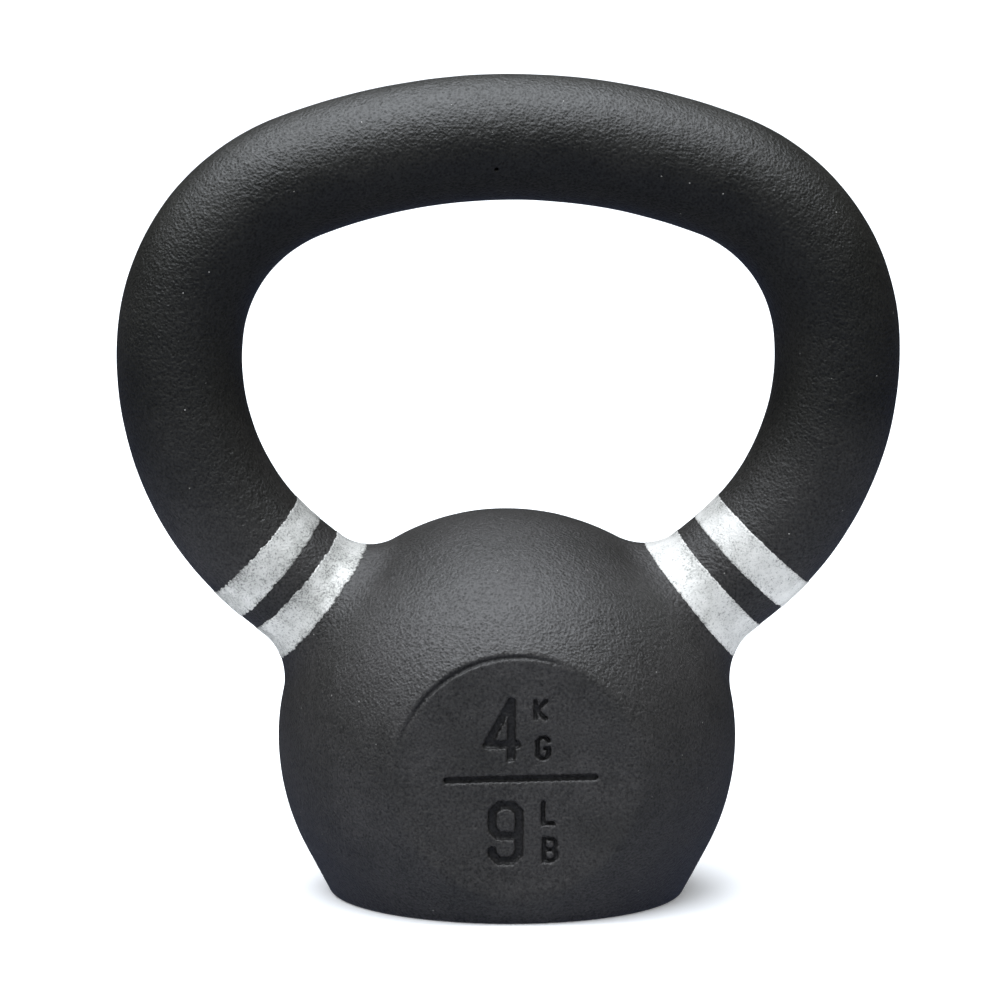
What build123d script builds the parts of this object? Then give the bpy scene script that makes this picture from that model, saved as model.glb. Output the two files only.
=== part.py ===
from build123d import *
import os
from math import asin, cos, degrees, radians, sin, tan

os.makedirs("parts", exist_ok=True)

# A 4 kg kettlebell: one solid iron casting, a black powder coat over all of it, and
# two silver painted rings on each horn. Millimetres; +Z up, the front flat faces -Y,
# and the origin is the middle of the base. Sizes are those of the black coat's outside.

# Ball: a sphere, running tangent into a short cone that meets the ground base
BALL_RADIUS = 47.3
BALL_CENTRE_HEIGHT = 32.3
CONE_START_BELOW_CENTRE = 22.3
BASE_EDGE_ROUND = 0.5
ARC_MIDDLE_ANGLE = 25  # a point on the ball's outline, above its equator

# Handle: one round bar, bent clockwise from the middle of the crown on the +X side
BAR_RADIUS = 12.95
CROWN_HEIGHT = 157.8
BENDS = [(120.8, 21.06), (38.1, 63.6), (57.2, 56.34)]  # (radius, degrees) of each bend
HORN_LENGTH = 33.9  # straight, and ends inside the ball
HORN_FILLET = 7.2

# A flat on the front and one on the back of the ball, both leaning to face a little down
FLAT_DISTANCE = 39.8
FLAT_LEAN = 1.4

# A crescent groove along the front flat's edge: a ring let in askew, deepest at DEEPEST
GROOVE_RING_RADIUS = 25.2
GROOVE_RADIUS = 0.55
GROOVE_DEEPEST = 117.0  # degrees from +X, up and towards -X
GROOVE_SKEW = 3.0
GROOVE_LIFT = 1.22

# Sunk weight mark on the front flat: figures, small unit letters and a line between,
# as points (right, up) from the middle of the flat
MARK_DEPTH = 1.0
NUMERAL_STROKE = 1.9
UNIT_STROKE = 1.1
LINE_STROKE = 1.45
FOUR = [
    [(-1.2, 15.9), (-6.1, 6.9), (-0.1, 6.9)],
    [(-1.2, 15.9), (-1.2, 4.2)],
]
NINE = [
    [(0.5, -7.2), (-0.9, -5.8), (-3.6, -5.8), (-5.0, -7.2), (-5.0, -10.8), (-3.6, -12.2), (0.5, -12.2)],
    [(0.5, -7.2), (0.5, -16.0), (-0.9, -17.4), (-3.6, -17.4), (-5.0, -16.0), (-5.0, -15.3)],
]
UNITS = [
    [(3.7, 16.0), (3.7, 12.3)],
    [(5.9, 16.0), (3.9, 14.1), (5.9, 12.3)],
    [(6.5, 7.7), (5.8, 8.4), (4.9, 8.4), (4.2, 7.7), (4.2, 4.7), (4.9, 4.0), (5.8, 4.0), (6.5, 4.7)],
    [(6.5, 4.7), (6.5, 6.1), (5.8, 6.1)],
    [(5.4, -5.2), (5.4, -9.6), (7.5, -9.6)],
    [(5.6, -12.8), (5.6, -17.4), (7.4, -17.4), (8.2, -16.6), (8.2, -15.8), (7.5, -15.1), (5.6, -15.1)],
    [(5.6, -12.8), (7.3, -12.8), (8.0, -13.5), (8.0, -14.4), (7.5, -15.1)],
]
LINE = [[(-14.4, -0.5), (16.0, 0.05)]]

# A pinhole that the casting left in the front of the crown
PINHOLE_RADIUS = 0.4
PINHOLE_X = -3.3
PINHOLE_BELOW_FRONT = 22.5  # degrees round the bar from its foremost line

# Thin layers
COAT = 0.15
PAINT = 0.1

# Painted rings, by distance along the bar from the end of the last bend to each edge
RINGS = {"upper": (-7.7, -0.6), "lower": (4.1, 11.6)}
RING_REACH = 4.0  # how far a ring's cutter stands out from the bar
CUT = 200.0  # larger than the bell


def inward(heading):
    """Unit vector from the bar's centreline towards the inside of its bends."""
    return Vector(sin(radians(heading)), 0, -cos(radians(heading)))


def ahead(heading):
    """Unit vector along the bar's centreline."""
    return Vector(cos(radians(heading)), 0, sin(radians(heading)))


def bend_starts():
    """Point and heading at the start of each bend, then at the start of the horn."""
    point, heading = Vector(0, 0, CROWN_HEIGHT), 0.0
    starts = [(point, heading)]
    for radius, sweep_angle in BENDS:
        turned = heading - sweep_angle
        point = point + (inward(heading) - inward(turned)) * radius
        heading = turned
        starts.append((point, heading))
    return starts


def bend(point, heading, radius, sweep_angle):
    """One bend of the centreline."""
    pivot = point + inward(heading) * radius
    middle = pivot - inward(heading - sweep_angle / 2) * radius
    end = pivot - inward(heading - sweep_angle) * radius
    return Edge.make_three_point_arc(point, middle, end)


def along(path, radius):
    """A round bar swept along a path, with its seam to the front."""
    section = Plane(origin=path @ 0, x_dir=(0, -1, 0), z_dir=path % 0) * Circle(radius)
    return sweep(section, path=path)


def handle(grow):
    """The bar: crown, corner and side bends, then the horn, on both hands."""
    starts = bend_starts()
    half = [bend(*start, *curve) for start, curve in zip(starts, BENDS)]
    foot, heading = starts[-1]
    half.append(Edge.make_line(foot, foot + ahead(heading) * HORN_LENGTH))
    other_half = [edge.mirror(Plane.YZ) for edge in half]
    return along(Wire(other_half + half), BAR_RADIUS + grow)


def ball(grow):
    """Sphere above, tangent cone below, cut off flat at the base."""
    radius = BALL_RADIUS + grow
    slope = asin(CONE_START_BELOW_CENTRE / BALL_RADIUS)
    middle_angle = radians(ARC_MIDDLE_ANGLE)
    cone_height = BALL_CENTRE_HEIGHT - radius * sin(slope)
    cone_top = (radius * cos(slope), cone_height)
    base = -grow
    cone_foot = (cone_top[0] - (cone_height - base) * tan(slope), base)
    crest = (0, BALL_CENTRE_HEIGHT + radius)
    middle = (radius * cos(middle_angle), BALL_CENTRE_HEIGHT + radius * sin(middle_angle))
    outline = ThreePointArc(crest, middle, cone_top) + Polyline(cone_top, cone_foot, (0, base), crest)
    body = revolve(Plane.YZ * make_face(outline), Axis.Z)
    foot_edge = body.edges().filter_by(GeomType.CIRCLE).sort_by(Axis.Z)[0]
    return fillet(foot_edge, BASE_EDGE_ROUND + grow)


def skin(grow):
    """Ball and handle joined, with a fillet round the foot of each horn."""
    joined = ball(grow) + handle(grow)
    joints = joined.edges().filter_by(GeomType.BSPLINE)
    return fillet(joints, HORN_FILLET - grow)


def slot(start, end, width):
    """A straight stroke with round ends."""
    start, end = Vector(*start), Vector(*end)
    span = end - start
    middle = (start + end) * 0.5
    turn = Vector(1, 0, 0).get_signed_angle(span)
    return Pos(middle.X, middle.Y) * Rot(0, 0, turn) * SlotCenterToCenter(span.length, width)


def strokes(lines, width):
    """Every line of points drawn as joined strokes."""
    drawn = Sketch()
    for points in lines:
        for start, end in zip(points, points[1:]):
            drawn += slot(start, end, width)
    return drawn


def flat_plane(side, grow):
    """The face of a flat, on the front (-1) or the back (+1), looking outwards."""
    lean = radians(FLAT_LEAN)
    outwards = Vector(0, side * cos(lean), -sin(lean))
    middle = Vector(0, 0, BALL_CENTRE_HEIGHT) + outwards * (FLAT_DISTANCE + grow)
    return Plane(origin=middle, x_dir=(1, 0, 0), z_dir=outwards)


def weight_mark(grow):
    """What the sunk weight mark takes out of the front flat."""
    drawn = strokes(FOUR + NINE, NUMERAL_STROKE - 2 * grow)
    drawn += strokes(UNITS, UNIT_STROKE - 2 * grow)
    drawn += strokes(LINE, LINE_STROKE - 2 * grow)
    floor = flat_plane(-1, grow - MARK_DEPTH)
    return extrude(floor * drawn, MARK_DEPTH + 1)


def groove(grow):
    """The crescent groove: a thin ring, lifted and leaning so that only its top bites."""
    askew = Rot(0, 0, GROOVE_DEEPEST) * Pos(0, 0, GROOVE_LIFT) * Rot(0, GROOVE_SKEW, 0)
    return flat_plane(-1, 0) * askew * Torus(GROOVE_RING_RADIUS, GROOVE_RADIUS - grow)


def pinhole(grow):
    """A small round pit in the front of the crown."""
    turn = radians(PINHOLE_BELOW_FRONT)
    place = (PINHOLE_X, -BAR_RADIUS * cos(turn), CROWN_HEIGHT - BAR_RADIUS * sin(turn))
    return Pos(*place) * Sphere(PINHOLE_RADIUS - grow)


def bell(grow):
    """The whole bell, its surface moved out by grow."""
    solid = skin(grow)
    for side in (-1, 1):
        solid -= flat_plane(side, grow) * Pos(0, 0, CUT) * Box(2 * CUT, 2 * CUT, 2 * CUT)
    return solid - groove(grow) - weight_mark(grow) - pinhole(grow)


def ring(first, last):
    """A painted ring on the +X horn, between two distances along the bar."""
    foot, heading = bend_starts()[-1]
    if first < 0:
        radius = BENDS[-1][0]
        pivot = foot + inward(heading) * radius
        to_first, to_last = (heading - degrees(s / radius) for s in (first, last))
        path = bend(pivot - inward(to_first) * radius, to_first, radius, to_first - to_last)
    else:
        path = Edge.make_line(foot + ahead(heading) * first, foot + ahead(heading) * last)
    cutter = along(Wire([path]), BAR_RADIUS + RING_REACH)
    return (skin(PAINT) & cutter) - skin(0)


def write(name, shape):
    """Label a shape and write it as one STEP file."""
    shape.label = name
    export_step(shape, f"parts/{name}.step")
    print(name, round(shape.volume, 1), "mm3")


outside = bell(0)
casting = bell(-COAT)
below_film = Pos(0, 0, COAT - CUT) * Box(2 * CUT, 2 * CUT, 2 * CUT)

write("iron_casting", casting)
write("base_coat", outside & below_film)
write("powder_coat", outside - below_film - casting)
for level, (first, last) in RINGS.items():
    painted = ring(first, last)
    write(f"band_right_{level}", painted)
    write(f"band_left_{level}", mirror(painted, Plane.YZ))
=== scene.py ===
# %% [markdown]
# # A 4 kg kettlebell
# The real thing is one lump of grey iron, cast in a sand mould: a ball, a thick round
# handle and the two horns that join them. A black powder coat covers it all, and two
# silver rings are painted round each horn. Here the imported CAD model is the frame, and
# every piece below is built in its place, in metres, +Z up, with the front facing -Y.

# %% Load the frame
from math import asin, cos, pi, radians, sin

import bpy
import numpy as np
from mathutils import Matrix, Vector, noise


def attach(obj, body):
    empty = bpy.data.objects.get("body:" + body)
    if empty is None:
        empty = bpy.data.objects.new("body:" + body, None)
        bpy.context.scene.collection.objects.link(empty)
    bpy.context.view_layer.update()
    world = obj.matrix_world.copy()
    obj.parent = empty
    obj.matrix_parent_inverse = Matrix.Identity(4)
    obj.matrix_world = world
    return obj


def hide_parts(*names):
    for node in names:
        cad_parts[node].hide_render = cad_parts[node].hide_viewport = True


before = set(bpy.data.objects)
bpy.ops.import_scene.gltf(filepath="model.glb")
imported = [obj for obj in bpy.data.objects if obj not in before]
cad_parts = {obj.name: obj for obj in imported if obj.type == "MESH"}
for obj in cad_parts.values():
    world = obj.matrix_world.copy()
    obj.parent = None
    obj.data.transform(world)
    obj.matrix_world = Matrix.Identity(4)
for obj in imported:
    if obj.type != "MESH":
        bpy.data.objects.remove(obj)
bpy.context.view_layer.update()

print("CAD nodes:", sorted(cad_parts))

# %% [markdown]
# ## The bell's sizes
# All shapes are worked out in millimetres, as a pattern maker would draw them, and are
# turned to metres when a mesh is made. The handle is one round bar that follows three
# tangent bends on each side: a flat crown, a tight corner and a long side bend. After
# them comes the straight horn, which runs into the ball.

# %% Sizes in millimetres
BALL_RADIUS = 47.3
BALL_HEIGHT = 32.3
CONE_START = asin(22.3 / BALL_RADIUS)
BASE_ROUND = 0.6
BAR_RADIUS = 12.95
CROWN_HEIGHT = 157.8
BENDS = [(120.8, 21.06), (38.1, 63.6), (57.2, 56.34)]
HORN_LENGTH = 33.9
HORN_FILLET = 7.2
FLAT_DISTANCE = 39.8
FLAT_LEAN = radians(1.4)
FLAT_ROUND = 0.5
MM = 0.001


def corners(bends):
    """Centre, radius and first and last angle (clockwise from up) of each bend."""
    x, z, turned = 0.0, CROWN_HEIGHT, 0.0
    found = []
    for radius, sweep in bends:
        centre = (x - radius * sin(turned), z - radius * cos(turned))
        start, turned = turned, turned + radians(sweep)
        x, z = centre[0] + radius * sin(turned), centre[1] + radius * cos(turned)
        found.append((centre, radius, start, turned))
    return found, (x, z), turned


bends, horn_foot, horn_turn = corners(BENDS)
horn_ahead = (cos(horn_turn), -sin(horn_turn))
print("horn starts at", [round(v, 2) for v in horn_foot], "mm")

# %% [markdown]
# ## The casting as a distance
# A cast shape has no sharp corners: every edge and every inside corner is rounded by
# the pattern, the sand and the coat. Such a shape is easy to describe as a distance,
# a number for each point of space that is negative inside the bell, positive outside
# and zero on its surface. Two shapes join with a fillet, or cut each other with a
# rounded edge, by one small formula each.

# %% Distance to the bar and to the ball
def join(a, b, radius):
    """Union of two distances with a fillet of that radius in the corner."""
    corner = radius - np.sqrt(np.maximum(radius - a, 0) ** 2 + np.maximum(radius - b, 0) ** 2)
    return np.where((a < radius) & (b < radius), corner, np.minimum(a, b))


def cut(a, b, radius):
    """What is inside both distances, with the edge between them rounded."""
    return -join(-a, -b, radius)


def bar_distance(x, y, z):
    """Distance to the handle's round bar. Both hands are the same, so x loses its sign."""
    x = np.abs(x)
    nearest = np.full(np.broadcast(x, z).shape, 1e9)
    for (cx, cz), radius, start, end in bends:
        turn = np.clip(np.arctan2(x - cx, z - cz), start, end)
        gap = np.hypot(x - cx - radius * np.sin(turn), z - cz - radius * np.cos(turn))
        nearest = np.minimum(nearest, gap)
    px, pz = x - horn_foot[0], z - horn_foot[1]
    along = np.clip(px * horn_ahead[0] + pz * horn_ahead[1], 0, HORN_LENGTH)
    gap = np.hypot(px - along * horn_ahead[0], pz - along * horn_ahead[1])
    return np.hypot(np.minimum(nearest, gap), y) - BAR_RADIUS


def ball_distance(x, y, z):
    """Distance to the ball: a sphere above, and a cone tangent to it below."""
    out, up = np.hypot(x, y), z - BALL_HEIGHT
    sphere = np.hypot(out, up) - BALL_RADIUS
    cone = out * cos(CONE_START) - up * sin(CONE_START) - BALL_RADIUS
    below = -out * sin(CONE_START) - up * cos(CONE_START)
    return np.where(below > 0, cone, sphere)


def flat_depth(side, x, y, z):
    """Height above the flat on the front (-1) or the back (+1)."""
    outward = side * y * cos(FLAT_LEAN) - (z - BALL_HEIGHT) * sin(FLAT_LEAN)
    return outward - FLAT_DISTANCE + 0 * x


def plain_bell(x, y, z):
    """Ball, handle, fillets, base and flats, before the mark is sunk into the front."""
    shape = join(ball_distance(x, y, z), bar_distance(x, y, z), HORN_FILLET)
    shape = cut(shape, -z + 0 * x, BASE_ROUND)
    shape = cut(shape, flat_depth(1, x, y, z), FLAT_ROUND)
    return cut(shape, flat_depth(-1, x, y, z), FLAT_ROUND)


crown = [np.array(v) for v in (0.0, 0.0, CROWN_HEIGHT)]
print("distance at the crown's centreline:", float(plain_bell(*crown)), "mm")

# %% [markdown]
# ## The sunk weight mark
# The figures on the front were raised on the pattern, so they are sunk in the casting.
# Their walls lean outwards a little, because a pattern has to draw out of the sand, and
# their edges are soft and a little uneven under the coat. Each stroke is a line of
# points, (right, up) from the middle of the flat. A crescent groove runs along the upper
# edge of the flat, where the loose plate that carries the figures was let into the
# pattern a little askew. One pinhole, left by a bubble of gas in the iron, shows on the
# front of the handle.

# %% Strokes and groove
MARK_DEPTH = 1.0
MARK_DRAFT = 0.22
MARK_ROUND = 0.22
MARK_NEAR = 3.0
MARK_WOBBLE = 0.05
NUMERALS = [
    [(-1.2, 15.9), (-6.1, 6.9), (-0.1, 6.9)],
    [(-1.2, 15.9), (-1.2, 4.2)],
    [(0.5, -7.2), (-0.9, -5.8), (-3.6, -5.8), (-5.0, -7.2), (-5.0, -10.8), (-3.6, -12.2), (0.5, -12.2)],
    [(0.5, -7.2), (0.5, -16.0), (-0.9, -17.4), (-3.6, -17.4), (-5.0, -16.0), (-5.0, -15.3)],
]
UNITS = [
    [(3.7, 16.0), (3.7, 12.3)],
    [(5.9, 16.0), (3.9, 14.1), (5.9, 12.3)],
    [(6.5, 7.7), (5.8, 8.4), (4.9, 8.4), (4.2, 7.7), (4.2, 4.7), (4.9, 4.0), (5.8, 4.0), (6.5, 4.7)],
    [(6.5, 4.7), (6.5, 6.1), (5.8, 6.1)],
    [(5.4, -5.2), (5.4, -9.6), (7.5, -9.6)],
    [(5.6, -12.8), (5.6, -17.4), (7.4, -17.4), (8.2, -16.6), (8.2, -15.8), (7.5, -15.1), (5.6, -15.1)],
    [(5.6, -12.8), (7.3, -12.8), (8.0, -13.5), (8.0, -14.4), (7.5, -15.1)],
]
LINE = [[(-14.4, -0.5), (16.0, 0.05)]]
STROKES = [(NUMERALS, 1.9), (UNITS, 1.0), (LINE, 1.45)]
GROOVE_RING = 25.2
GROOVE_RADIUS = 0.55
GROOVE_DEEPEST = radians(117)
GROOVE_SKEW = radians(3.0)
GROOVE_LIFT = 1.22
GROOVE_ROUND = 0.1
PINHOLE_RADIUS = 0.42
PINHOLE_DEPTH = 0.7
PINHOLE_X = -3.3
PINHOLE_BELOW_FRONT = radians(22.5)
PINHOLE_NEAR = 2.0


def on_flat(x, y, z):
    """Place on the front flat: right, up, and height above it."""
    height = flat_depth(-1, x, y, z)
    up = (z - BALL_HEIGHT) * cos(FLAT_LEAN) - y * sin(FLAT_LEAN)
    return x + 0 * up, up + 0 * x, height


def stroke_distance(right, up, start, end):
    """Distance in the flat's plane to one straight stroke's middle line."""
    ax, az = start
    bx, bz = end[0] - ax, end[1] - az
    t = np.clip(((right - ax) * bx + (up - az) * bz) / (bx * bx + bz * bz), 0, 1)
    return np.hypot(right - ax - t * bx, up - az - t * bz)


def mark_distance(right, up, height):
    """Distance to the space that the figures take out of the front."""
    nearest = np.full(right.shape, 1e9)
    for lines, width in STROKES:
        for points in lines:
            for start, end in zip(points, points[1:]):
                nearest = np.minimum(nearest, stroke_distance(right, up, start, end) - width / 2)
    wobble = np.sin(5.1 * right + 2.3 * up) + np.sin(6.7 * up - 3.9 * right)
    walls = nearest - MARK_DRAFT * height + MARK_WOBBLE * wobble
    return cut(walls, -height - MARK_DEPTH, MARK_ROUND)


def groove_distance(right, up, height):
    """Distance to the askew ring whose deepest part cuts the crescent groove."""
    toward = right * cos(GROOVE_DEEPEST) + up * sin(GROOVE_DEEPEST)
    across = -right * sin(GROOVE_DEEPEST) + up * cos(GROOVE_DEEPEST)
    lifted = height - GROOVE_LIFT
    level = toward * cos(GROOVE_SKEW) - lifted * sin(GROOVE_SKEW)
    above = toward * sin(GROOVE_SKEW) + lifted * cos(GROOVE_SKEW)
    return np.hypot(np.hypot(level, across) - GROOVE_RING, above) - GROOVE_RADIUS


def pinhole_gap(x, y, z):
    """Distance to the pinhole's middle line, which points at the middle of the bar."""
    forward, rise = -y, z - CROWN_HEIGHT
    outward = forward * cos(PINHOLE_BELOW_FRONT) - rise * sin(PINHOLE_BELOW_FRONT)
    aside = forward * sin(PINHOLE_BELOW_FRONT) + rise * cos(PINHOLE_BELOW_FRONT)
    beyond = outward - np.clip(outward, BAR_RADIUS - PINHOLE_DEPTH, BAR_RADIUS)
    return np.sqrt((x - PINHOLE_X) ** 2 + aside**2 + beyond**2)


def bell_distance(x, y, z):
    """The whole bell's surface. Only places near the front flat look at its strokes."""
    shape = plain_bell(x, y, z)
    x, y, z = np.broadcast_arrays(x, y, z)
    near = (y < 0) & (flat_depth(-1, x, y, z) > -MARK_NEAR)
    right, up, height = on_flat(x[near], y[near], z[near])
    front = cut(shape[near], -mark_distance(right, up, height), MARK_ROUND)
    shape[near] = cut(front, -groove_distance(right, up, height), GROOVE_ROUND)
    gap = pinhole_gap(x, y, z)
    near = gap < PINHOLE_NEAR
    shape[near] = cut(shape[near], PINHOLE_RADIUS - gap[near], GROOVE_ROUND)
    return shape


print("strokes:", sum(len(points) - 1 for lines, _ in STROKES for points in lines))

# %% [markdown]
# ## From a distance to a mesh
# A surface net turns the distance into quads. Space is divided into small boxes; each
# box that the surface passes through gets one point, at the mean of the places where
# its edges cross the surface, and each crossed edge gets one quad between the four
# boxes round it. The boxes are finer where the figures are, so that the strokes have
# real walls. Each point then walks along the slope of the distance until it is exactly
# on the surface, so the smooth parts stay perfectly round.

# %% Surface net
def ruler(low, high, coarse, *finer):
    """Grid lines from low to high, with (from, to, step) zones of closer lines."""
    lines, at = [], low
    for start, end, step in [*finer, (high, high, coarse)]:
        for a, b, width in ((at, start, coarse), (start, end, step)):
            lines.append(np.linspace(a, b, int(round((b - a) / width)) + 1)[:-1])
        at = end
    return np.concatenate([*lines, [high]])


CUBE = np.array([(i, j, k) for i in (0, 1) for j in (0, 1) for k in (0, 1)])
CUBE_EDGES = [(a, b) for a in range(8) for b in range(a + 1, 8) if np.abs(CUBE[a] - CUBE[b]).sum() == 1]


def surface_net(distance, xs, ys, zs):
    """Points and outward quads where a distance is zero on a grid."""
    field = distance(xs[:, None, None], ys[None, :, None], zs[None, None, :]).astype(np.float32)
    inside = field < 0
    nx, ny, nz = len(xs) - 1, len(ys) - 1, len(zs) - 1
    count = sum(inside[i : i + nx, j : j + ny, k : k + nz].astype(np.int8) for i, j, k in CUBE)
    cells = np.argwhere((count > 0) & (count < 8))
    number = np.full(count.shape, -1, np.int64)
    number[tuple(cells.T)] = np.arange(len(cells))
    at = cells[:, None, :] + CUBE[None]
    value = field[at[..., 0], at[..., 1], at[..., 2]]
    place = np.stack([xs[at[..., 0]], ys[at[..., 1]], zs[at[..., 2]]], -1)
    total = np.zeros((len(cells), 3))
    crossed = np.zeros((len(cells), 1))
    for a, b in CUBE_EDGES:
        va, vb = value[:, a], value[:, b]
        hit = (va < 0) != (vb < 0)
        t = np.where(hit, va / np.where(hit, va - vb, 1), 0)[:, None]
        total += np.where(hit[:, None], place[:, a] + t * (place[:, b] - place[:, a]), 0)
        crossed += hit[:, None]
    quads = []
    for axis in range(3):
        u, v = [n for n in range(3) if n != axis]
        ahead = np.moveaxis(inside, (axis, u, v), (0, 1, 2))
        lines = np.moveaxis(number, (axis, u, v), (0, 1, 2))
        change = (ahead[:-1] != ahead[1:])[:, 1:-1, 1:-1]
        spots = np.argwhere(change)
        a, b, c = spots.T
        around = [lines[a, b, c], lines[a, b + 1, c], lines[a, b + 1, c + 1], lines[a, b, c + 1]]
        ring = np.stack(around, -1)
        leaving = ahead[a, b + 1, c + 1]
        flip = leaving if axis != 1 else ~leaving
        ring[~flip] = ring[~flip][:, ::-1]
        quads.append(ring)
    return total / crossed, np.concatenate(quads)


def slope(distance, points, step=0.02):
    """Unit direction in which a distance grows, at each point."""
    grown = [distance(*(points + step * e).T) - distance(*(points - step * e).T) for e in np.eye(3)]
    grown = np.stack(grown, -1)
    return grown / np.maximum(np.linalg.norm(grown, axis=1, keepdims=True), 1e-9)


def settle(distance, points, rounds=4, most=0.25):
    """Points moved along the slope onto the surface."""
    for _ in range(rounds):
        gap = np.clip(distance(*points.T), -most, most)
        points = points - slope(distance, points) * gap[:, None]
    return points


# %% [markdown]
# ## Meshes from points
# A cast surface is never quite true. The sand gives a little when the iron runs in, so
# the skin rises and falls by a few hundredths of a millimetre over several millimetres.
# That slow wave moves real points here, and the fine grain of the coat is left to the
# material. The base is ground flat, so the wave fades out towards it.

# %% Wave and mesh helpers
WAVES = [(14.0, 0.075), (5.0, 0.03)]  # length and height in millimetres
WAVE_FADE = 4.0


def cast_wave(points):
    """How far the cast skin stands out at each point, in millimetres."""
    rise = np.zeros(len(points))
    for length, height in WAVES:
        rise += height * np.array([noise.noise(Vector(p)) for p in points / length])
    return rise * np.clip(points[:, 2] / WAVE_FADE, 0, 1)


def make_piece(name, points, quads):
    """A smooth-shaded object from points in millimetres."""
    mesh = bpy.data.meshes.new(name)
    mesh.from_pydata((points * MM).tolist(), [], quads.tolist())
    mesh.shade_smooth()
    piece = bpy.data.objects.new(name, mesh)
    bpy.context.scene.collection.objects.link(piece)
    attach(piece, "root")
    print(name, len(points), "points", len(quads), "faces")
    return piece


# %% [markdown]
# ## The black coat and the iron under it
# Powder coat is sprayed on as dry dust and baked until it flows into one skin, only a
# fraction of a millimetre thick. The coat piece is that skin: the outer surface with the
# figures, and a plain inner surface facing the other way. Each point also remembers how
# deep it lies in a figure or in the groove, for the material to use. The iron fills the
# inside. It is never seen, so its grid is coarse and it lies a little deeper than in the
# real thing, clear of the figures, the groove and the pinhole.

# %% Coat and core
SKIN = 1.3
COARSE, FINE, INNER = ((1.02, 0.36, 2.2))
SPAN_X, SPAN_Y, SPAN_Z = 82.0, 42.0, (-2.03, 172.0)
# Zones of closer grid lines: (from, to, step) round the figures, the base and the pinhole.
FIGURES_LEFT, FIGURES_RIGHT = (-27.0, -4.2, FINE), (-2.4, 19.0, FINE)
FIGURES_Y, FIGURES_Z = (-41.3, -37.9, FINE), (12.0, 58.5, FINE)
BASE_Z = (-0.53, 1.87, 0.3)
HOLE_X, HOLE_Y, HOLE_Z = (-4.2, -2.4, 0.15), (-13.0, -10.6, 0.2), (151.8, 154.0, 0.2)


def core_distance(x, y, z):
    """The iron's surface: the plain bell drawn in, with no figures."""
    return plain_bell(x, y, z) + SKIN


outer, outer_quads = surface_net(
    bell_distance,
    ruler(-SPAN_X, SPAN_X, COARSE, FIGURES_LEFT, HOLE_X, FIGURES_RIGHT),
    ruler(-SPAN_Y, SPAN_Y, COARSE, FIGURES_Y, HOLE_Y),
    ruler(*SPAN_Z, COARSE, BASE_Z, FIGURES_Z, HOLE_Z),
)
outer = settle(bell_distance, outer)
outer += slope(plain_bell, outer) * cast_wave(outer)[:, None]
outer[:, 2] = np.maximum(outer[:, 2], 0)
inner, inner_quads = surface_net(
    core_distance, ruler(-SPAN_X, SPAN_X, INNER), ruler(-SPAN_Y, SPAN_Y, INNER), ruler(*SPAN_Z, INNER)
)
inner = settle(core_distance, inner)
coat_quads = np.concatenate([outer_quads, inner_quads[:, ::-1] + len(outer)])
coat = make_piece("black_powder_coat", np.concatenate([outer, inner]), coat_quads)
depth = np.concatenate([np.maximum(-plain_bell(*outer.T), 0), np.zeros(len(inner))])
coat.data.attributes.new("recess", "FLOAT", "POINT").data.foreach_set("value", depth)
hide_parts("powder_coat", "base_coat")
core = make_piece("iron_casting_core", inner, inner_quads)
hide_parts("iron_casting")

# %% [markdown]
# ## The silver rings
# The rings are painted over the coat between two strips of masking tape. The tape is
# laid by hand, so each edge runs a little askew, and it does not seal on the grain, so
# the edges are ragged, more so on the left horn. Each ring is a thin sleeve: rows of
# points run round the horn, and every point walks out from the bar's middle line until
# it is on the coat, so that the lower rings follow the fillet.

# %% Rings
# Where each edge lies along the horn, at the window side and at the outer side.
RINGS = {
    "right_upper": ((-9.0, -8.3), (-0.3, -2.3)),
    "right_lower": ((4.4, 3.2), (11.3, 11.5)),
    "left_upper": ((-8.9, -6.5), (-0.6, -0.6)),
    "left_lower": ((4.1, 3.4), (10.6, 11.3)),
}
PAINT = 0.1
SUNK = 0.06
ROWS, COLUMNS = ((20, 420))
RAGS = [(7.0, 0.2), (1.1, 0.3), (0.45, 0.3)]  # length and reach of the ragged edge, in millimetres
RIGHT_RAGS = 0.5  # the right horn's share of that reach
RING_STEPS = 30
EDGE_SHARPNESS = 5
SEED_START, SEED_STEP, OTHER_EDGE = 3.0, 10.0, 50  # so that no two edges are alike


def horn_station(s):
    """Middle of the bar and direction to the window, s millimetres past the last bend."""
    (cx, cz), radius = bends[-1][:2]
    turn = np.where(s < 0, horn_turn + s / radius, horn_turn)
    past = np.maximum(s, 0)
    x = cx + radius * np.sin(turn) + past * horn_ahead[0]
    z = cz + radius * np.cos(turn) + past * horn_ahead[1]
    middle = np.stack([x, 0 * s, z], -1)
    inward = np.stack([-np.sin(turn), 0 * s, -np.cos(turn)], -1)
    return middle, inward


def ragged(around, seed):
    """How far a taped edge strays, for each angle round the horn."""
    stray = np.zeros(len(around))
    for length, reach in RAGS:
        size = BAR_RADIUS / length
        places = [Vector((size * cos(a), size * sin(a), seed)) for a in around]
        stray += reach * np.array([noise.noise(p) for p in places])
    return stray


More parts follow.
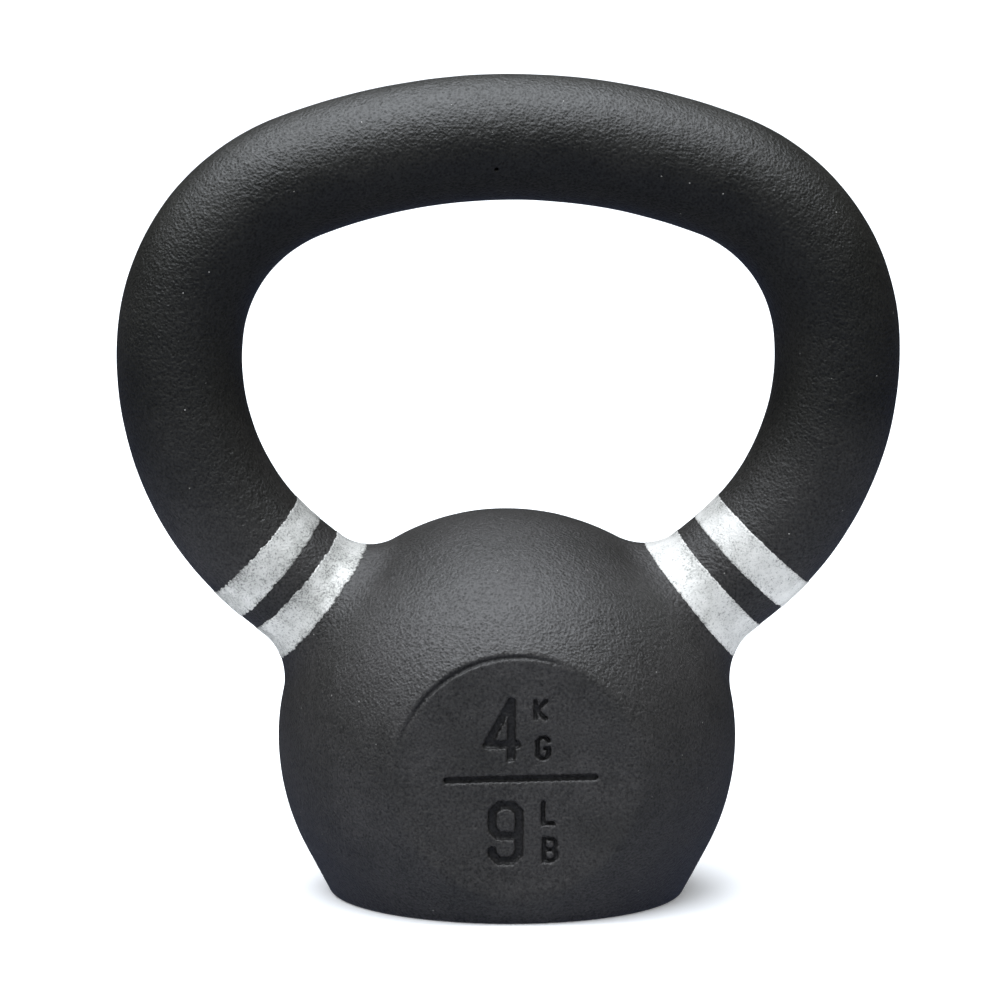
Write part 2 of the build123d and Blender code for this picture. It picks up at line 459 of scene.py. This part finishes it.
def ring(name, side, first, last, seed):
    """One painted sleeve on the right (+1) or left (-1) horn."""
    around = np.linspace(0, 2 * pi, COLUMNS, endpoint=False)
    share = np.linspace(0, 1, ROWS)[:, None]
    edges = []
    for (window, outer), layer in ((first, seed), (last, seed + OTHER_EDGE)):
        askew = (window + outer) / 2 + (window - outer) / 2 * np.cos(around)
        edges.append(askew + ragged(around, layer) * (1.0 if side < 0 else RIGHT_RAGS))
    s = edges[0] * (1 - share) + edges[1] * share
    middle, inward = horn_station(s)
    forward = np.array([0.0, -1.0, 0.0])
    out = np.cos(around)[None, :, None] * inward + np.sin(around)[None, :, None] * forward
    reach = np.full(s.shape, BAR_RADIUS)
    for _ in range(RING_STEPS):
        reach -= plain_bell(*np.moveaxis(middle + out * reach[..., None], -1, 0))
    skin = (middle + out * reach[..., None]).reshape(-1, 3) * np.array([side, 1, 1])
    normal = slope(plain_bell, skin)
    skin += normal * cast_wave(skin)[:, None]
    points = np.concatenate([skin + normal * PAINT, skin - normal * SUNK])
    row, column = np.meshgrid(np.arange(ROWS - 1), np.arange(COLUMNS), indexing="ij")
    after = (column + 1) % COLUMNS
    a, b = row * COLUMNS + column, row * COLUMNS + after
    c, d = b + COLUMNS, a + COLUMNS
    top = np.stack([a, b, c, d], -1).reshape(-1, 4)
    under = top[:, ::-1] + len(skin)
    n = np.arange(COLUMNS)
    m = (n + 1) % COLUMNS
    end = (ROWS - 1) * COLUMNS
    low = np.stack([n, n + len(skin), m + len(skin), m], -1)
    high = np.stack([n + end, m + end, m + end + len(skin), n + end + len(skin)], -1)
    quads = np.concatenate([top, under, low, high])
    if side > 0:
        quads = quads[:, ::-1]
    piece = make_piece(name, points, quads)
    edge = np.repeat(np.abs(2 * share[:, 0] - 1) ** EDGE_SHARPNESS, COLUMNS)
    piece.data.attributes.new("edge", "FLOAT", "POINT").data.foreach_set("value", np.tile(edge, 2))
    worn = np.full(len(points), 1.0 if side < 0 else 0.0)
    piece.data.attributes.new("worn", "FLOAT", "POINT").data.foreach_set("value", worn)
    return piece


rings = []
for where, (first, last) in RINGS.items():
    side = 1 if where.startswith("right") else -1
    painted = ring(f"silver_ring_{where}", side, first, last, SEED_STEP * len(rings) + SEED_START)
    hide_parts(f"band_{where}")
    rings.append(painted)

# %% [markdown]
# ## Colours and nodes
# Paint makers give colours as sRGB hex values. Light adds up in linear numbers, so one
# function turns the one into the other. One more adds a node, sets it and links it.

# %% Helpers for materials
def colour(hex_value):
    """An sRGB hex colour as linear red, green, blue and alpha."""
    parts = [int(hex_value[i : i + 2], 16) / 255 for i in (0, 2, 4)]
    linear = [p / 12.92 if p <= 0.04045 else ((p + 0.055) / 1.055) ** 2.4 for p in parts]
    return (*linear, 1.0)


def add(tree, kind, inputs=None, **settings):
    """A new node with its settings, and a value or a link on each named input."""
    made = tree.nodes.new(kind)
    for key, value in settings.items():
        setattr(made, key, value)
    for key, value in (inputs or {}).items():
        if isinstance(value, bpy.types.NodeSocket):
            tree.links.new(value, made.inputs[key])
        else:
            made.inputs[key].default_value = value
    return made


def new_material(name):
    """An empty material, with the place of each point in the object's own metres."""
    material = bpy.data.materials.new(name)
    material.use_nodes = True
    tree = material.node_tree
    tree.nodes.clear()
    place = add(tree, "ShaderNodeTexCoord").outputs["Object"]
    return material, tree, place


def per_metre(millimetres):
    """Texture scale whose features are that far apart."""
    return 1000.0 / millimetres


# %% [markdown]
# ## Black powder coat
# Polyester powder, sprayed dry and baked over sand-cast iron. It is a plastic, so it is
# not metallic and its gloss is that of any resin (IOR 1.5). The texture powder shrinks
# into fine wrinkles about half a millimetre apart over the coarser grain of the sand,
# so highlights break up into a leathery sparkle and are never sharp.

# %% Powder coat
coat_look, tree, place = new_material("black_powder_coat")
# Wrinkles of the baked powder, the rounder grain between them, and the sand's own grain.
wrinkle = add(tree, "ShaderNodeTexNoise", {
    "Vector": place, "Scale": per_metre(0.5), "Detail": 3.0, "Roughness": 0.6, "Distortion": 0.1,
})
pebble = add(tree, "ShaderNodeTexVoronoi", {
    "Vector": place, "Scale": per_metre(0.65), "Smoothness": 0.3,
}, feature="SMOOTH_F1")
sand = add(tree, "ShaderNodeTexNoise", {
    "Vector": place, "Scale": per_metre(1.7), "Detail": 2.0, "Roughness": 0.5,
})
cloud = add(tree, "ShaderNodeTexNoise", {
    "Vector": place, "Scale": per_metre(16.0), "Detail": 4.0, "Roughness": 0.6,
})
grain = add(tree, "ShaderNodeMath", {
    0: pebble.outputs["Distance"], 1: 0.7, 2: wrinkle.outputs["Fac"],
}, operation="MULTIPLY_ADD")
fine_bump = add(tree, "ShaderNodeBump", {
    "Height": grain.outputs[0], "Strength": 1.0, "Distance": 0.00016,
})
sand_bump = add(tree, "ShaderNodeBump", {
    "Height": sand.outputs["Fac"], "Strength": 1.0,
    "Distance": 0.00018, "Normal": fine_bump.outputs["Normal"],
})
# Painted shade: the grip is coloured darker than the ball below it, in place of the floor's bounce light
# reaching the ball more than the handle. Both blacks vary at random in clouds.
# Painted highlight and shade: the tops of the grain are coloured paler than the pits between them; the
# tops are also shinier.
height = add(tree, "ShaderNodeSeparateXYZ", {"Vector": place})
grip_shade_mask = add(tree, "ShaderNodeMapRange", {
    "Value": height.outputs["Z"], "From Min": 0.072, "From Max": 0.104,
})
dusty = add(tree, "ShaderNodeMapRange", {
    "Value": cloud.outputs["Fac"], "From Min": 0.3, "From Max": 0.7, "To Min": 0.0, "To Max": 1.0,
})
bounce_lit_ball_black = add(tree, "ShaderNodeMix", {
    "Factor": dusty.outputs["Result"], "A": colour("262523"), "B": colour("302E2D"),
}, data_type="RGBA")
shaded_grip_black = add(tree, "ShaderNodeMix", {
    "Factor": dusty.outputs["Result"], "A": colour("10100C"), "B": colour("171611"),
}, data_type="RGBA")
black = add(tree, "ShaderNodeMix", {
    "Factor": grip_shade_mask.outputs["Result"], "A": bounce_lit_ball_black.outputs["Result"],
    "B": shaded_grip_black.outputs["Result"],
}, data_type="RGBA")
grain_shade = add(tree, "ShaderNodeMapRange", {
    "Value": wrinkle.outputs["Fac"], "From Min": 0.3, "From Max": 0.7, "To Min": 0.5, "To Max": 1.6,
})
grain_shaded_black = add(tree, "ShaderNodeVectorMath", {
    0: black.outputs["Result"], "Scale": grain_shade.outputs["Result"],
}, operation="SCALE")
# Painted shade: the bottom of the figures, the groove and the pinhole is coloured darker, where little
# light reaches.
recess = add(tree, "ShaderNodeAttribute", attribute_name="recess")
sunk = add(tree, "ShaderNodeMapRange", {
    "Value": recess.outputs["Fac"], "From Min": 0.12, "From Max": 0.5, "To Max": 0.6,
})
recess_shaded = add(tree, "ShaderNodeMix", {
    "Factor": sunk.outputs["Result"], "A": grain_shaded_black.outputs["Vector"], "B": colour("0C0C0C"),
}, data_type="RGBA")
# A few grains of pale dust caught in the texture.
dot = add(tree, "ShaderNodeTexVoronoi", {"Vector": place, "Scale": per_metre(4.0)})
near_dot = add(tree, "ShaderNodeMath", {0: dot.outputs["Distance"], 1: 0.036}, operation="LESS_THAN")
few = add(tree, "ShaderNodeMath", {0: dot.outputs["Color"], 1: 0.4}, operation="GREATER_THAN")
speck = add(tree, "ShaderNodeMath", {0: near_dot.outputs[0], 1: few.outputs[0]}, operation="MULTIPLY")
dusted = add(tree, "ShaderNodeMix", {
    "Factor": speck.outputs[0], "A": recess_shaded.outputs["Result"], "B": colour("8A8884"),
}, data_type="RGBA")
# The edge that stands on the ground is rubbed through to bare metal in places.
low = add(tree, "ShaderNodeMapRange", {
    "Value": height.outputs["Z"], "From Min": 0.0002, "From Max": 0.0011, "To Min": 0.25, "To Max": -0.6,
})
rub = add(tree, "ShaderNodeMath", {0: low.outputs["Result"], 1: sand.outputs["Fac"]})
bare = add(tree, "ShaderNodeMapRange", {"Value": rub.outputs[0], "From Min": 0.72, "From Max": 0.84})
skin = add(tree, "ShaderNodeMix", {
    "Factor": bare.outputs["Result"], "A": dusted.outputs["Result"], "B": colour("5B5855"),
}, data_type="RGBA")
cavity = add(tree, "ShaderNodeMapRange", {
    "Value": grain.outputs[0], "From Min": 0.55, "From Max": 0.95, "To Min": 0.34, "To Max": 0.62,
})
gloss = add(tree, "ShaderNodeMapRange", {
    "Value": cloud.outputs["Fac"], "From Min": 0.3, "From Max": 0.7, "To Min": 0.44, "To Max": 0.54,
})
skin_shader = add(tree, "ShaderNodeBsdfPrincipled", {
    "Base Color": skin.outputs["Result"],
    "Roughness": gloss.outputs["Result"],
    "Normal": sand_bump.outputs["Normal"],
    "Specular IOR Level": cavity.outputs["Result"],
    "IOR": 1.5,
})
add(tree, "ShaderNodeOutputMaterial", {"Surface": skin_shader.outputs["BSDF"]})
coat.data.materials.append(coat_look)

# %% [markdown]
# ## Silver paint
# Aluminium-flake enamel brushed over the texture. The flakes lie flat in a clear
# binder, so it is a third metallic and light grey. It is thin, and it doesn't reach the
# bottom of the coat's grain, so the pits stay dark. The left horn's rings got less paint
# than the right horn's, so they are greyer and show more pits.

# %% Silver enamel
silver_look, tree, place = new_material("silver_flake_enamel")
wrinkle = add(tree, "ShaderNodeTexNoise", {
    "Vector": place, "Scale": per_metre(0.62), "Detail": 3.0, "Roughness": 0.6, "Distortion": 0.15,
})
fleck = add(tree, "ShaderNodeTexNoise", {
    "Vector": place, "Scale": per_metre(0.42), "Detail": 3.0, "Roughness": 0.65,
})
patch = add(tree, "ShaderNodeTexNoise", {
    "Vector": place, "Scale": per_metre(6.0), "Detail": 3.0, "Roughness": 0.6,
})
# Paint is thin in patches and on the left horn; there it is greyer.
worn = add(tree, "ShaderNodeAttribute", attribute_name="worn")
laid = add(tree, "ShaderNodeMath", {
    0: worn.outputs["Fac"], 1: -0.14, 2: patch.outputs["Fac"],
}, operation="MULTIPLY_ADD")
# Pits stay dark where the film is thin, most of all along the taped edges.
edge = add(tree, "ShaderNodeAttribute", attribute_name="edge")
thin = add(tree, "ShaderNodeMath", {
    0: edge.outputs["Fac"], 1: -0.09, 2: fleck.outputs["Fac"],
}, operation="MULTIPLY_ADD")
cover = add(tree, "ShaderNodeMath", {
    0: laid.outputs[0], 1: 0.35, 2: thin.outputs[0],
}, operation="MULTIPLY_ADD")
pits = add(tree, "ShaderNodeMapRange", {
    "Value": cover.outputs[0], "From Min": 0.43, "From Max": 0.64, "To Min": 0.85, "To Max": 0.0,
})
tint = add(tree, "ShaderNodeValToRGB", {"Fac": laid.outputs[0]})
thin_end, thick_end = tint.color_ramp.elements
thin_end.position, thin_end.color = 0.25, colour("BCBCB7")
thick_end.position, thick_end.color = 0.65, colour("E6E5E1")
paint = add(tree, "ShaderNodeMix", {
    "Factor": pits.outputs["Result"], "A": tint.outputs["Color"], "B": colour("686866"),
}, data_type="RGBA")
bump = add(tree, "ShaderNodeBump", {
    "Height": wrinkle.outputs["Fac"], "Strength": 0.9, "Distance": 0.00016,
})
rough = add(tree, "ShaderNodeMapRange", {
    "Value": wrinkle.outputs["Fac"], "From Min": 0.3, "From Max": 0.7, "To Min": 0.62, "To Max": 0.48,
})
ring_shader = add(tree, "ShaderNodeBsdfPrincipled", {
    "Base Color": paint.outputs["Result"],
    "Metallic": 0.3,
    "Roughness": rough.outputs["Result"],
    "Normal": bump.outputs["Normal"],
})
add(tree, "ShaderNodeOutputMaterial", {"Surface": ring_shader.outputs["BSDF"]})
for painted in rings:
    painted.data.materials.append(silver_look)

# %% [markdown]
# ## Grey cast iron
# Flake-graphite iron, as it comes out of a green-sand mould and is shot blasted: dull,
# dark and grainy. It is metal, so it keeps the default IOR.

# %% Cast iron
iron_look, tree, place = new_material("grey_cast_iron")
sand = add(tree, "ShaderNodeTexNoise", {
    "Vector": place, "Scale": per_metre(0.8), "Detail": 4.0, "Roughness": 0.65,
})
shade = add(tree, "ShaderNodeValToRGB", {"Fac": sand.outputs["Fac"]})
dark_end, light_end = shade.color_ramp.elements
dark_end.position, dark_end.color = 0.3, colour("4A4846")
light_end.position, light_end.color = 0.7, colour("77736F")
bump = add(tree, "ShaderNodeBump", {"Height": sand.outputs["Fac"], "Strength": 0.9, "Distance": 0.00015})
rough = add(tree, "ShaderNodeMapRange", {
    "Value": sand.outputs["Fac"], "From Min": 0.3, "From Max": 0.7, "To Min": 0.62, "To Max": 0.8,
})
iron_shader = add(tree, "ShaderNodeBsdfPrincipled", {
    "Base Color": shade.outputs["Color"],
    "Metallic": 0.9,
    "Roughness": rough.outputs["Result"],
    "Normal": bump.outputs["Normal"],
})
add(tree, "ShaderNodeOutputMaterial", {"Surface": iron_shader.outputs["BSDF"]})
core.data.materials.append(iron_look)

# %% [markdown]
# ## Table, light and camera
# A pale matt table fills the picture. It is a sheet of white acrylic with a weak lamp
# under it, so that shadows nearly vanish. It lights the bell from below but is left out
# of reflections, so the underside of the handle stays black. One big soft box hangs
# overhead, a little to the left and to the front. It gives the top of the handle and
# the shoulder of the ball their highlight. The rest of the room is dim, and cool below.
# The camera is far away with a long lens, ten degrees above the level.

# %% Floor
floor_mesh = bpy.data.meshes.new("floor")
HALF = 8.0
floor_corners = [(-HALF, -HALF, 0), (HALF, -HALF, 0), (HALF, HALF, 0), (-HALF, HALF, 0)]
floor_mesh.from_pydata(floor_corners, [], [(0, 1, 2, 3)])
floor = bpy.data.objects.new("floor", floor_mesh)
bpy.context.scene.collection.objects.link(floor)
floor.visible_glossy = False
floor_look, tree, place = new_material("matt_white_table")
fleck = add(tree, "ShaderNodeTexNoise", {"Vector": place, "Scale": per_metre(60.0), "Detail": 2.0})
pale = add(tree, "ShaderNodeValToRGB", {"Fac": fleck.outputs["Fac"]})
pale.color_ramp.elements[0].color = colour("F2F3F4")
pale.color_ramp.elements[1].color = colour("F6F7F8")
floor_shader = add(tree, "ShaderNodeBsdfPrincipled", {
    "Base Color": pale.outputs["Color"],
    "Roughness": 0.9,
    "Specular IOR Level": 0.0,
    "Emission Color": pale.outputs["Color"],
    "Emission Strength": 0.25,
})
add(tree, "ShaderNodeOutputMaterial", {"Surface": floor_shader.outputs["BSDF"]})
floor_mesh.materials.append(floor_look)
print("floor", 2 * HALF, "m wide")

# %% Lights
def soft_box(name, place, aim, size, watts, shade="FFFFFF"):
    """A square area light that looks at a point."""
    light = bpy.data.lights.new(name, "AREA")
    light.shape, light.size, light.energy = "SQUARE", size, watts
    light.color = colour(shade)[:3]
    box = bpy.data.objects.new(name, light)
    box.location = place
    box.rotation_euler = (Vector(aim) - Vector(place)).to_track_quat("-Z", "Y").to_euler()
    bpy.context.scene.collection.objects.link(box)
    return box


MIDDLE = (0.0, 0.0, 0.08)
soft_box("overhead_box", (-0.2, -0.15, 1.6), MIDDLE, 2.3, 96.0, "F3F8FF")
world = bpy.data.worlds.new("studio")
bpy.context.scene.world = world
world.use_nodes = True
sky = world.node_tree
toward = add(sky, "ShaderNodeTexCoord").outputs["Generated"]
steep = add(sky, "ShaderNodeSeparateXYZ", {"Vector": toward})
aloft = add(sky, "ShaderNodeMapRange", {"Value": steep.outputs["Z"], "From Min": -1.0})
room = add(sky, "ShaderNodeValToRGB", {"Fac": aloft.outputs["Result"]})
below_end, level_end = room.color_ramp.elements
below_end.position, below_end.color = 0.30, (0.10, 0.12, 0.20, 1.0)
level_end.position, level_end.color = 0.50, (0.046, 0.044, 0.040, 1.0)
sky.links.new(room.outputs["Color"], sky.nodes["Background"].inputs["Color"])

# %% Camera
ELEVATION, AZIMUTH, ROLL = radians(10), radians(-3), radians(0.26)
DISTANCE = 2.994
FRAME_WIDTH = 0.2065
SENSOR = 36
AIM = Vector((0, 0, 0.0826))
OFFSET = (-0.001652, -0.000609)
back = Vector((sin(AZIMUTH) * cos(ELEVATION), -cos(AZIMUTH) * cos(ELEVATION), sin(ELEVATION)))
level = Vector((cos(AZIMUTH), sin(AZIMUTH), 0))
rise = back.cross(level)
right = level * cos(ROLL) + rise * sin(ROLL)
up = rise * cos(ROLL) - level * sin(ROLL)
lens = bpy.data.cameras.new("camera")
lens.sensor_width = SENSOR
lens.lens = SENSOR * DISTANCE / FRAME_WIDTH
lens.clip_end = 100
camera = bpy.data.objects.new("camera", lens)
spot = AIM + right * OFFSET[0] + up * OFFSET[1] + back * DISTANCE
camera.matrix_world = Matrix.Translation(spot) @ Matrix((right, up, back)).transposed().to_4x4()
bpy.context.scene.collection.objects.link(camera)
bpy.context.scene.camera = camera
bpy.context.scene.view_settings.view_transform = "Standard"
print("lens", round(lens.lens), "mm")
